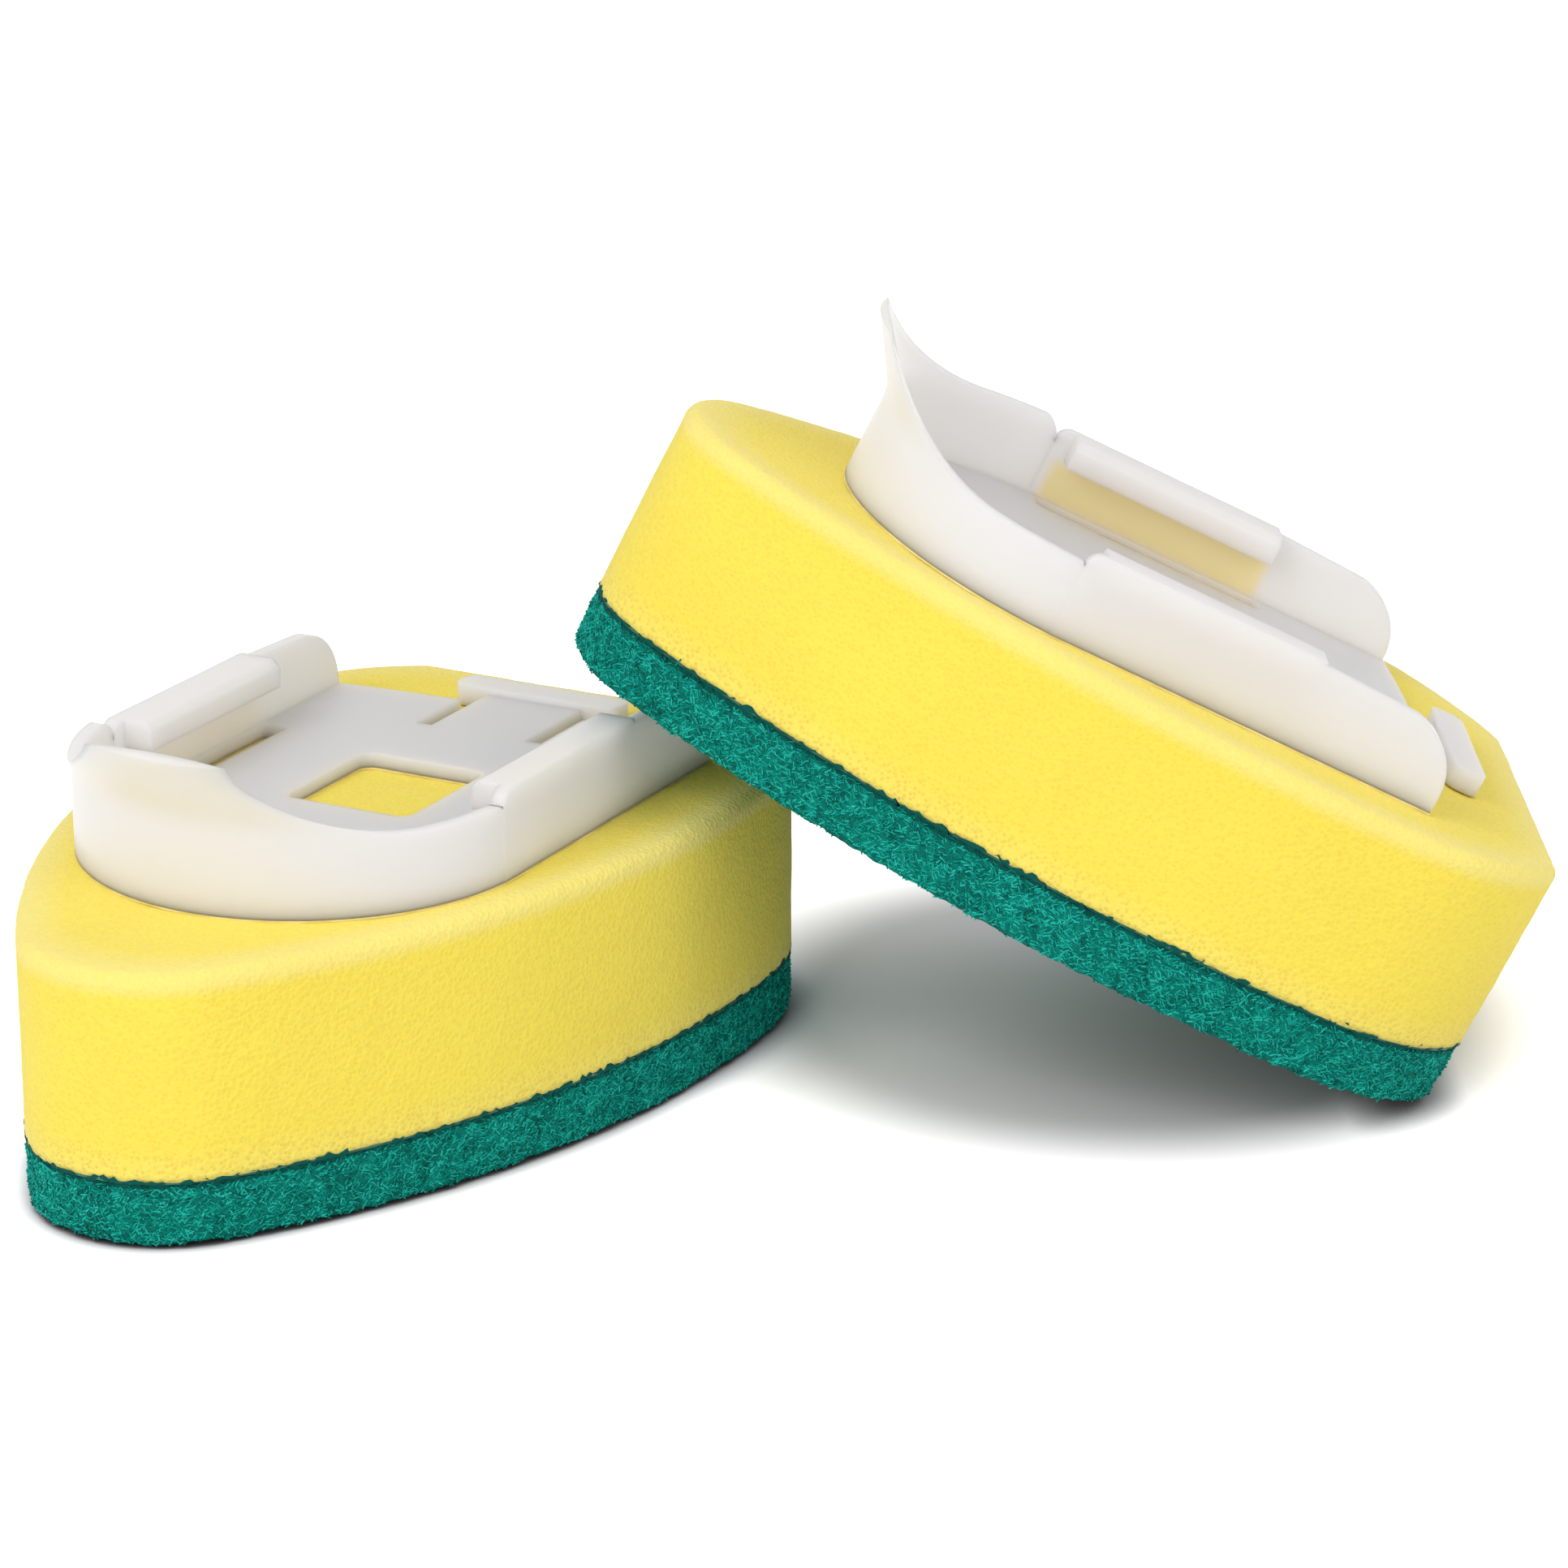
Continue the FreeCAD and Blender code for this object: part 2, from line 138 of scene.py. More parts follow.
def set_ramp(node: bpy.types.Node, stops: list[tuple[float, tuple]]) -> None:
    """Give a colour ramp its stops.

    Args:
        node: The ramp.
        stops: Places and colours, from low to high.
    """
    elements = node.color_ramp.elements
    while len(elements) < len(stops):
        elements.new(1.0)
    for element, (place, colour) in zip(elements, stops):
        element.position = place
        element.color = colour


def calc(tree: bpy.types.NodeTree, operation: str, *values: object) -> bpy.types.NodeSocket:
    """Do one step of arithmetic on numbers and other nodes' outputs."""
    return add_node(tree, "ShaderNodeMath", dict(enumerate(values)), operation=operation).outputs[0]


def remap(
    tree: bpy.types.NodeTree,
    value: bpy.types.NodeSocket,
    source: tuple[float, float] = (0.0, 1.0),
    target: tuple[object, float] = (0.0, 1.0),
    shape: str = "LINEAR",
) -> bpy.types.NodeSocket:
    """Carry a value over from one span to another and hold it at the ends.

    Args:
        tree: The tree that takes the node.
        value: The value.
        source: The span that it comes from.
        target: What the two ends of that span turn into.
        shape: Blender's name for the way between the ends.

    Returns:
        The value in its new span.
    """
    feeds = {
        "Value": value,
        "From Min": source[0],
        "From Max": source[1],
        "To Min": target[0],
        "To Max": target[1],
    }
    return add_node(tree, "ShaderNodeMapRange", feeds, interpolation_type=shape).outputs["Result"]


def blend(
    tree: bpy.types.NodeTree, share: bpy.types.NodeSocket, first: object, second: object
) -> bpy.types.NodeSocket:
    """Mix two colours.

    Args:
        tree: The tree that takes the node.
        share: How much of the second colour is in the mix.
        first: A colour or another node's output.
        second: A colour or another node's output.

    Returns:
        The mixed colour.
    """
    feeds = {"Factor": share, "A": first, "B": second}
    return add_node(tree, "ShaderNodeMix", feeds, data_type="RGBA").outputs["Result"]


def noise(
    tree: bpy.types.NodeTree, point: bpy.types.NodeSocket, size: float, detail: float, **more: float
) -> bpy.types.NodeSocket:
    """Add noise whose features have a real size.

    Args:
        tree: The tree that takes the node.
        point: Where the noise is read.
        size: The size of its features.
        detail: How many finer layers it has.
        more: The noise's other inputs.

    Returns:
        The noise, from zero to one.
    """
    feeds = {"Vector": point, "Scale": 1 / size, "Detail": detail, **more}
    return add_node(tree, "ShaderNodeTexNoise", feeds).outputs["Fac"]


def bump(
    tree: bpy.types.NodeTree, height: bpy.types.NodeSocket, strength: float, depth: float, **more: object
) -> bpy.types.NodeSocket:
    """Turn a height into a relief.

    Args:
        tree: The tree that takes the node.
        height: The height, from zero to one.
        strength: How strongly the relief shows.
        depth: Its depth at full strength.
        more: The relief's other inputs.

    Returns:
        The normal.
    """
    feeds = {"Height": height, "Strength": strength, "Distance": depth, **more}
    return add_node(tree, "ShaderNodeBump", feeds).outputs["Normal"]


def object_point(tree: bpy.types.NodeTree) -> bpy.types.NodeSocket:
    """The shaded point in its object's own frame."""
    return add_node(tree, "ShaderNodeTexCoord").outputs["Object"]


def mesh_value(tree: bpy.types.NodeTree, name: str) -> bpy.types.NodeSocket:
    """A value that the mesh carries under a name."""
    return add_node(tree, "ShaderNodeAttribute", attribute_name=name).outputs["Fac"]


def end_in_surface(tree: bpy.types.NodeTree, inputs: dict[str, object]) -> None:
    """End a material's tree in one principled surface."""
    surface = add_node(tree, "ShaderNodeBsdfPrincipled", inputs)
    add_node(tree, "ShaderNodeOutputMaterial", {"Surface": surface.outputs[0]})


@dataclass(frozen=True)
class OpenCellFoam:
    """Yellow open-cell polyurethane foam, cut from a block.

    Cut cells give a matt, finely grained face that is coarser along the saw cut by the pad, and paler
    there. The open cells catch light at a low angle, so faces seen aslant look paler; a painted highlight
    runs along the top rim.
    """

    wall: str = "FFE65A"
    # pit: darker pore colour, partly the foam's grain and partly painted shade inside the cells
    pit: str = "DFB83E"
    # rim: the colour of the painted highlight along the top rim
    rim: str = "FFEE9E"
    bloom: str = "FFF6C8"
    cell: float = 0.45 * MM
    patch: float = 14 * MM
    pit_depth: float = 0.72 * MM
    glow: float = 1.2 * MM
    pore_span: tuple[float, float] = (0.04, 0.26)
    pore_strength: tuple[float, float] = (0.2, 0.85)
    patch_shade: tuple[float, float] = (0.95, 1.04)

    def material(self) -> bpy.types.Material:
        """Build the foam's material.

        Returns:
            The material.
        """
        material, tree = blank_material("open_cell_polyurethane_foam")
        point = object_point(tree)
        cells = add_node(tree, "ShaderNodeTexVoronoi", {"Vector": point, "Scale": 1 / self.cell})
        grain = noise(tree, point, 2 * self.cell, 3.0, Roughness=0.6)
        wall_height = calc(tree, "MULTIPLY", cells.outputs["Distance"], grain)
        strength = remap(tree, mesh_value(tree, "saw_grain"), target=self.pore_strength)
        pore = remap(tree, wall_height, self.pore_span, (strength, 0.0))
        # pores darken towards the pit colour: grain, with painted shade inside the cells
        cut = blend(tree, pore, linear(self.wall), linear(self.pit))
        # painted highlight: the rim is mixed towards a paler yellow
        highlighted = blend(tree, mesh_value(tree, "rim_highlight_and_seam"), cut, linear(self.rim))
        shade = remap(tree, noise(tree, point, self.patch, 2.0), target=self.patch_shade)
        colour = add_node(tree, "ShaderNodeHueSaturation", {"Value": shade, "Color": highlighted})
        end_in_surface(tree, {
            "Base Color": colour.outputs["Color"],
            "Roughness": 0.95,
            "Specular IOR Level": 0.15,
            "Subsurface Weight": 0.3,
            "Subsurface Radius": (1.0, 0.8, 0.25),
            "Subsurface Scale": self.glow,
            "Sheen Weight": 0.3,
            "Sheen Roughness": 0.5,
            "Sheen Tint": linear(self.bloom),
            "Normal": bump(tree, wall_height, 0.35, self.pit_depth),
        })
        return material


@dataclass(frozen=True)
class NylonScour:
    """Green non-woven nylon, bonded with resin and grit.

    Short springy fibres cross in layers with dark gaps between them. Each takes the dye and the light a
    little differently, so the web looks flecked, and the resin leaves a faint shine. Along the seam to
    the foam the web is darkest.
    """

    lit: str = "34D8C6"
    body: str = "00A695"
    deep: str = "00544C"
    clump: float = 1.6 * MM
    fibre: float = 0.35 * MM
    dye_share: float = 0.6
    seam_shade: float = -0.45
    tone_stops: tuple[float, float, float] = (0.15, 0.5, 0.9)

    def material(self, name: str, lightness: float) -> bpy.types.Material:
        """Build the material of the web or of the loose fibres on it.

        Args:
            name: The material's name.
            lightness: How far its tones move from the deep to the lit end.

        Returns:
            The material.
        """
        material, tree = blank_material(name)
        point = object_point(tree)
        clumps = noise(tree, point, self.clump, 3.0, Distortion=0.6)
        feeds = {"Factor": self.dye_share, "A": clumps, "B": mesh_value(tree, "dye")}
        mixed = add_node(tree, "ShaderNodeMix", feeds, data_type="FLOAT").outputs["Result"]
        moved = calc(tree, "ADD", mixed, lightness)
        shaded = calc(tree, "MULTIPLY_ADD", mesh_value(tree, "rim_highlight_and_seam"), self.seam_shade, moved)
        tone = add_node(tree, "ShaderNodeValToRGB", {"Fac": shaded})
        colours = [linear(code) for code in (self.deep, self.body, self.lit)]
        set_ramp(tone, list(zip(self.tone_stops, colours)))
        grit = noise(tree, point, self.fibre, 2.0)
        end_in_surface(tree, {
            "Base Color": tone.outputs["Color"],
            "Roughness": 0.75,
            "IOR": 1.53,
            "Specular IOR Level": 0.12,
            "Normal": bump(tree, grit, 0.5, self.fibre),
        })
        return material


@dataclass(frozen=True)
class MouldedPolypropylene:
    """Natural polypropylene, injection moulded.

    Milky and half clear, with soft edges and a satin face. Under the hook rails a tan is painted in on the
    inner faces of the side panels: painted shade, for the rails' shadow and the yellow light from the
    foam.
    """

    milk: str = "E6E3E2"
    rail_shade_tan: str = "FCDBA4"
    edge_round: float = 0.6 * MM
    milk_depth: float = 5.5 * MM
    ripple: float = 7 * MM
    scuff: float = 0.8 * MM
    satin: tuple[float, float] = (0.36, 0.52)
    rail_shade_middle: tuple[float, float, float] = (3.9 * MM, 20.9 * MM, 30.4 * MM)
    rail_shade_half: tuple[float, float, float] = (12.2 * MM, 0.5 * MM, 2.1 * MM)
    rail_shade_blur: float = 0.8 * MM

    def painted_rail_shade(
        self, tree: bpy.types.NodeTree, head_point: bpy.types.NodeSocket, rail_shade_share: float
    ) -> bpy.types.NodeSocket:
        """Mark the painted shade under the rails, on the inner face of both side panels.

        Args:
            tree: The material's tree.
            head_point: The point in the head's own frame.
            rail_shade_share: How strongly the painted shade shows.

        Returns:
            The painted shade's share under a rail and zero elsewhere, with a soft edge.
        """
        parts = add_node(tree, "ShaderNodeSeparateXYZ", {0: head_point}).outputs
        folded = (parts["X"], calc(tree, "ABSOLUTE", parts["Y"]), parts["Z"])
        share = rail_shade_share
        for along, middle, half in zip(folded, self.rail_shade_middle, self.rail_shade_half):
            away = calc(tree, "ABSOLUTE", calc(tree, "SUBTRACT", along, middle))
            edge = (half - self.rail_shade_blur, half + self.rail_shade_blur)
            share = calc(tree, "MULTIPLY", share, remap(tree, away, edge, (1.0, 0.0), "SMOOTHSTEP"))
        return share

    def material(self, head: Head, place: "HeadPlace", rail_shade_share: float) -> bpy.types.Material:
        """Build the carrier's material for one head.

        Args:
            head: Which head.
            place: Where that head stands.
            rail_shade_share: How strongly the painted shade under the rails shows.

        Returns:
            The material.
        """
        material, tree = blank_material(f"moulded_polypropylene_{head.value}")
        point = object_point(tree)
        to_head = {
            "Vector": point,
            "Location": place.matrix.to_translation(),
            "Rotation": place.matrix.to_euler(),
        }
        head_point = add_node(tree, "ShaderNodeMapping", to_head, vector_type="TEXTURE").outputs[0]
        # painted shade: a tan on the inner faces under the rails, for their shadow and the foam's yellow
        # light
        painted_rail_shade = self.painted_rail_shade(tree, head_point, rail_shade_share)
        soft_edge = add_node(tree, "ShaderNodeBevel", {"Radius": self.edge_round}, samples=4).outputs[0]
        ripple = noise(tree, point, self.ripple, 1.0)
        scuff = noise(tree, point, self.scuff, 4.0)
        end_in_surface(tree, {
            "Base Color": blend(tree, painted_rail_shade, linear(self.milk), linear(self.rail_shade_tan)),
            "Roughness": remap(tree, scuff, target=self.satin),
            "IOR": 1.49,
            "Specular IOR Level": 0.35,
            "Subsurface Weight": 1.0,
            "Subsurface Radius": (1.0, 1.0, 0.95),
            "Subsurface Scale": self.milk_depth,
            "Normal": bump(tree, ripple, 0.25, self.edge_round, Normal=soft_edge),
        })
        return material


@dataclass(frozen=True)
class HotMeltGlue:
    """Hot-melt glue, squeezed to a film.

    A little cloudy, with a wet shine along the joint. Under the carrier it is honey coloured. At the pad
    it has soaked into the web and shows as a thin dark green line.
    """

    clear: str
    cloudy: str
    blob: float = 3 * MM
    tone_stops: tuple[float, float] = (0.35, 0.65)
    shine: tuple[float, float] = (0.35, 0.6)

    def material(self, name: str) -> bpy.types.Material:
        """Build the glue's material.

        Args:
            name: The material's name.

        Returns:
            The material.
        """
        material, tree = blank_material(name)
        blobs = noise(tree, object_point(tree), self.blob, 2.0)
        tone = add_node(tree, "ShaderNodeValToRGB", {"Fac": blobs})
        set_ramp(tone, list(zip(self.tone_stops, (linear(self.cloudy), linear(self.clear)))))
        end_in_surface(tree, {
            "Base Color": tone.outputs["Color"],
            "Roughness": remap(tree, blobs, target=self.shine),
            "IOR": 1.48,
        })
        return material


@dataclass
class SpongeOutline:
    """The outline that every layer of a sponge shares, seen from above."""

    length: float
    width: float
    nose_radius: float = 13.5 * MM
    nose_to_widest: float = 66 * MM
    flat_end_width: float = 38 * MM
    shoulder_radius: float = 20 * MM
    arc_points: int = 400

    def sweep(self, centre: np.ndarray, radius: float, first: float, last: float) -> np.ndarray:
        """Points along one arc.

        Args:
            centre: The arc's centre.
            radius: Its radius.
            first: The angle that it starts at.
            last: The angle that it ends at.

        Returns:
            The points, one a row.
        """
        turn = np.linspace(first, last, self.arc_points)
        return centre + radius * np.column_stack([np.cos(turn), np.sin(turn)])

    def half(self) -> np.ndarray:
        """Lay out one half, from the nose to the middle of the flat end, round the +Y side.

        Returns:
            The points, one a row.
        """
        half_width = self.width / 2
        nose = np.array([self.nose_radius - self.length / 2, 0.0])
        widest = self.nose_to_widest - self.length / 2
        run = widest - nose[0]
        spread = half_width - self.nose_radius
        side_radius = (run ** 2 + half_width ** 2 - self.nose_radius ** 2) / (2 * spread)
        side = np.array([widest, half_width - side_radius])
        corner = np.array([self.length / 2, self.flat_end_width / 2])
        reach = np.linalg.norm(corner - side)
        inner = side_radius - self.shoulder_radius
        along = (inner ** 2 - self.shoulder_radius ** 2 + reach ** 2) / (2 * reach)
        aside = math.sqrt(inner ** 2 - along ** 2)
        step = (corner - side) / reach
        shoulder = side + along * step + aside * np.array([-step[1], step[0]])
        nose_turn = math.atan2(*(nose - side)[::-1])
        side_turn = math.atan2(*(shoulder - side)[::-1])
        corner_turn = math.atan2(*(corner - shoulder)[::-1])
        return np.vstack([
            self.sweep(nose, self.nose_radius, math.pi, nose_turn),
            self.sweep(side, side_radius, nose_turn, side_turn),
            self.sweep(shoulder, self.shoulder_radius, side_turn, corner_turn),
            [[self.length / 2, 0.0]],
        ])

    def middle(self) -> np.ndarray:
        """A point well inside the outline, from which every part of its edge is in sight."""
        return np.array([self.nose_to_widest - self.length / 2 - self.nose_radius, 0.0])

    def trace(self, spacing: float) -> tuple[np.ndarray, np.ndarray]:
        """Evenly spaced points round the whole outline.

        Args:
            spacing: The distance between points.

        Returns:
            The points, anticlockwise, and the outward direction at each.
        """
        half = self.half()
        loop = np.vstack([half, half[::-1] * (1, -1)])[::-1]
        steps = np.linalg.norm(np.diff(loop, axis=0), axis=1)
        run = np.concatenate([[0.0], np.cumsum(steps)])
        places = np.linspace(0.0, run[-1], int(run[-1] / spacing), endpoint=False)
        points = np.column_stack([np.interp(places, run, loop[:, axis]) for axis in (0, 1)])
        ahead = np.roll(points, -1, axis=0) - np.roll(points, 1, axis=0)
        outward = np.column_stack([ahead[:, 1], -ahead[:, 0]])
        return points, outward / np.linalg.norm(outward, axis=1, keepdims=True)


@dataclass(frozen=True)
class HeadPlace:
    """Where a head stands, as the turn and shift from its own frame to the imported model's."""

    matrix: Matrix

    @classmethod
    def of(cls, head: Head) -> "HeadPlace":
        """Read a head's place from the record's wand slides.

        Args:
            head: Which head.

        Returns:
            Its place.
        """
        mounts = {mount["name"]: mount for mount in frame["record"]["mounts"]}
        joints = {joint["name"]: joint for joint in frame["record"]["behaviour"]["joints"]}
        slide = mounts[f"{head.value}_wand_slide"]
        along = Vector(slide["axis"]).normalized()
        up = -Vector(joints[f"{head.value}_squeeze"]["axis"]).normalized()
        turn = Matrix((along, up.cross(along), up)).transposed()
        shift = Vector(slide["pos_m"]) - turn @ Vector(mounts["resting_wand_slide"]["pos_m"])
        return cls(Matrix.Translation(shift) @ turn.to_4x4())

    def up(self) -> Vector:
        """The direction from the scouring face to the carrier."""
        return self.matrix.to_3x3() @ Vector((0, 0, 1))

    def point(self, height: float) -> Vector:
        """The point on the head's middle line at a height over its scouring face."""
        return self.matrix @ Vector((0, 0, height))


@dataclass
class RingStack:
    """A closed mesh made of rings that lie one inside or over the other."""

    rings: list[np.ndarray] = field(default_factory=list)
    marks: list[tuple[float, float]] = field(default_factory=list)

    def add(
        self, points: np.ndarray, height: float | np.ndarray, rim_and_seam: float = 0.0, sawn: float = 0.0
    ) -> None:
        """Add a ring.

        Args:
            points: Its points from above.
            height: Its height, or each point's own.
            rim_and_seam: On foam, the share of the painted rim highlight; on a pad, the dark seam. From 0
                to 1.
            sawn: How coarse the saw cut is there, from 0 to 1.
        """
        self.rings.append(np.column_stack([points, np.full(len(points), height)]))
        self.marks.append((rim_and_seam, sawn))

    def object(self, name: str) -> bpy.types.Object:
        """Make the mesh, with both end rings filled.

        Args:
            name: The object's name.

        Returns:
            The object, linked to the scene.
        """
        count = len(self.rings[0])
        faces = []
        for level in range(len(self.rings) - 1):
            low = level * count
            for at in range(count):
                after = (at + 1) % count
                faces.append((low + at, low + after, low + count + after, low + count + at))
        top = (len(self.rings) - 1) * count
        faces.append(tuple(reversed(range(count))))
        faces.append(tuple(range(top, top + count)))
        mesh = bpy.data.meshes.new(name)
        mesh.from_pydata(np.vstack(self.rings).tolist(), [], faces)
        mesh.shade_smooth()
        for at, label in enumerate(("rim_highlight_and_seam", "saw_grain")):
            layer = mesh.attributes.new(label, "FLOAT", "POINT")
            values = np.array([mark[at] for mark in self.marks], np.float32)
            layer.data.foreach_set("value", np.repeat(values, count))
        piece = bpy.data.objects.new(name, mesh)
        bpy.context.scene.collection.objects.link(piece)
        return piece


def new_node_group(name: str, sockets: list[tuple[str, str, object]]) -> bpy.types.GeometryNodeTree:
    """Make a geometry tree with its named inputs.

    Args:
        name: The tree's name.
        sockets: Each input's name, socket type and start value, or None for no value.

    Returns:
        The tree, with one geometry output.
    """
    tree = bpy.data.node_groups.new(name, "GeometryNodeTree")
    tree.interface.new_socket("Geometry", in_out="OUTPUT", socket_type="NodeSocketGeometry")
    for label, kind, value in sockets:
        socket = tree.interface.new_socket(label, in_out="INPUT", socket_type=kind)
        if value is not None:
            socket.default_value = value
    return tree


def settle(
    piece: bpy.types.Object, tree: bpy.types.GeometryNodeTree, values: dict[str, object]
) -> None:
    """Run a geometry tree on a piece and keep the result as its plain mesh.

    Args:
        piece: The piece.
        tree: The tree.
        values: The tree's inputs by name.
    """
    modifier = piece.modifiers.new(tree.name, "NODES")
    modifier.node_group = tree
    for item in tree.interface.items_tree:
        if item.item_type == "SOCKET" and item.in_out == "INPUT" and item.name in values:
            modifier[item.identifier] = values[item.name]
    graph = bpy.context.evaluated_depsgraph_get()
    result = bpy.data.meshes.new_from_object(piece.evaluated_get(graph), depsgraph=graph)
    piece.modifiers.remove(modifier)
    piece.data = result


def swell(
    tree: bpy.types.GeometryNodeTree,
    inputs: bpy.types.NodeOutputs,
    wave: str,
    detail: float,
    level: float,
) -> bpy.types.NodeSocket:
    """Add a wavy height.

    Args:
        tree: The geometry tree.
        inputs: The tree's inputs, of which two give the wave's size and its depth.
        wave: The wave's name.
        detail: How many finer layers it has.
        level: The noise at which the height is zero.

    Returns:
        The height.
    """
    scale = calc(tree, "DIVIDE", 1.0, inputs[f"{wave} Size"])
    feeds = {"W": inputs["Seed"], "Scale": scale, "Detail": detail}
    waves = add_node(tree, "ShaderNodeTexNoise", feeds, noise_dimensions="4D").outputs["Fac"]
    return calc(tree, "MULTIPLY", calc(tree, "SUBTRACT", waves, level), inputs[f"{wave} Depth"])


def push_out(
    tree: bpy.types.GeometryNodeTree, shape: bpy.types.NodeSocket, height: bpy.types.NodeSocket
) -> bpy.types.NodeSocket:
    """Move a shape's points along their normals.

    Args:
        tree: The geometry tree.
        shape: The shape.
        height: How far each point goes.

    Returns:
        The moved shape.
    """
    normal = add_node(tree, "GeometryNodeInputNormal").outputs[0]
    move = add_node(tree, "ShaderNodeVectorMath", {0: normal, "Scale": height}, operation="SCALE")
    feeds = {"Geometry": shape, "Offset": move.outputs[0]}
    return add_node(tree, "GeometryNodeSetPosition", feeds).outputs[0]


def set_material(
    tree: bpy.types.GeometryNodeTree, shape: bpy.types.NodeSocket, material: bpy.types.NodeSocket
) -> bpy.types.NodeSocket:
    """Give a shape its material."""
    feeds = {"Geometry": shape, "Material": material}
    return add_node(tree, "GeometryNodeSetMaterial", feeds).outputs[0]


def below(
    tree: bpy.types.GeometryNodeTree, value: bpy.types.NodeSocket, limit: float
) -> bpy.types.NodeSocket:
    """Tell where a value lies below a limit."""
    settings = {"data_type": "FLOAT", "operation": "LESS_THAN"}
    return add_node(tree, "FunctionNodeCompare", {"A": value, "B": limit}, **settings).outputs[0]


def draw_vector(
    tree: bpy.types.GeometryNodeTree, low: tuple, high: tuple, seed: bpy.types.NodeSocket
) -> bpy.types.NodeSocket:
    """Draw a vector between two corners for each point."""
    feeds = {"Min": low, "Max": high, "Seed": seed}
    return add_node(tree, "FunctionNodeRandomValue", feeds, data_type="FLOAT_VECTOR").outputs[0]


def join(
    tree: bpy.types.GeometryNodeTree, shapes: list[bpy.types.NodeSocket]
) -> bpy.types.NodeSocket:
    """Join shapes in their order.

    Args:
        tree: The geometry tree.
        shapes: The shapes.

    Returns:
        The whole.
    """
    whole = add_node(tree, "GeometryNodeJoinGeometry")
    for shape in shapes:
        tree.links.new(shape, whole.inputs[0])
    return whole.outputs[0]


def foam_grain_tree() -> bpy.types.GeometryNodeTree:
    """Build the tree that roughens a cut foam face.

    Returns:
        The tree.
    """
    tree = new_node_group("foam_grain", [
        ("Geometry", "NodeSocketGeometry", None),
        ("Grain Size", "NodeSocketFloat", 1.2 * MM),
        ("Grain Depth", "NodeSocketFloat", 0.1 * MM),
        ("Sway Size", "NodeSocketFloat", 9 * MM),
        ("Sway Depth", "NodeSocketFloat", 0.3 * MM),
        ("Seed", "NodeSocketFloat", 0.0),
        ("Material", "NodeSocketMaterial", None),
    ])
    inputs = add_node(tree, "NodeGroupInput").outputs
    heights = [swell(tree, inputs, wave, detail=1.0, level=0.5) for wave in ("Grain", "Sway")]
    moved = push_out(tree, inputs["Geometry"], calc(tree, "ADD", *heights))
    plain = add_node(tree, "GeometryNodeRealizeInstances", {"Geometry": moved}).outputs[0]
    add_node(tree, "NodeGroupOutput", {"Geometry": set_material(tree, plain, inputs["Material"])})
    return tree


@dataclass(frozen=True)
class FibreLay:
    """How loose fibres lie on one zone of a pad's web.

    Each is laid flat along the web's edge and then turned at random, within the tilt and the spin in
    radians. Its length and its two widths are the tree's own, times a factor from least to most.
    """

    density: str
    spin: float
    tilt: float = 0.5
    least: tuple[float, float, float] = (0.5, 0.7, 0.7)
    most: tuple[float, float, float] = (1.3, 1.2, 1.2)

    def turn(
        self, tree: bpy.types.GeometryNodeTree, out: bpy.types.NodeSocket, seed: bpy.types.NodeSocket
    ) -> bpy.types.NodeSocket:
        """Turn each fibre.

        Args:
            tree: The geometry tree.
            out: The web's outward direction at the fibre.
            seed: The pad's own number.

        Returns:
            The rotation.
        """
        flat = add_node(tree, "ShaderNodeVectorMath", {0: (0, 0, 1), 1: out}, operation="CROSS_PRODUCT")
        facing = add_node(tree, "FunctionNodeAlignRotationToVector", {"Vector": out}, axis="Z")
        lying = add_node(
            tree,
            "FunctionNodeAlignRotationToVector",
            {"Rotation": facing.outputs[0], "Vector": flat.outputs[0]},
            axis="X",
            pivot_axis="Z",
        )
        most = (math.pi, self.tilt, self.spin)
        tumble = draw_vector(tree, tuple(-angle for angle in most), most, seed)
        loose = add_node(tree, "FunctionNodeEulerToRotation", {0: tumble})
        feeds = {0: lying.outputs[0], 1: loose.outputs[0]}
        return add_node(tree, "FunctionNodeRotateRotation", feeds, rotation_space="LOCAL").outputs[0]

    def lay(
        self,
        tree: bpy.types.GeometryNodeTree,
        inputs: bpy.types.NodeOutputs,
        web: bpy.types.NodeSocket,
        zone: bpy.types.NodeSocket,
        fibre: bpy.types.NodeSocket,
    ) -> bpy.types.NodeSocket:
        """Lay the fibres.

        Args:
            tree: The geometry tree.
            inputs: The tree's inputs.
            web: The web's mesh.
            zone: Where on the web the fibres go.
            fibre: One fibre.

        Returns:
            The fibres, as copies of the one.
        """
        seed = inputs["Seed"]
        spots = {"Mesh": web, "Selection": zone, "Density": inputs[self.density], "Seed": seed}
        points = add_node(tree, "GeometryNodeDistributePointsOnFaces", spots).outputs
        feeds = {
            "Points": points["Points"],
            "Instance": fibre,
            "Rotation": self.turn(tree, points["Normal"], seed),
            "Scale": draw_vector(tree, self.least, self.most, seed),
        }
        return add_node(tree, "GeometryNodeInstanceOnPoints", feeds).outputs[0]


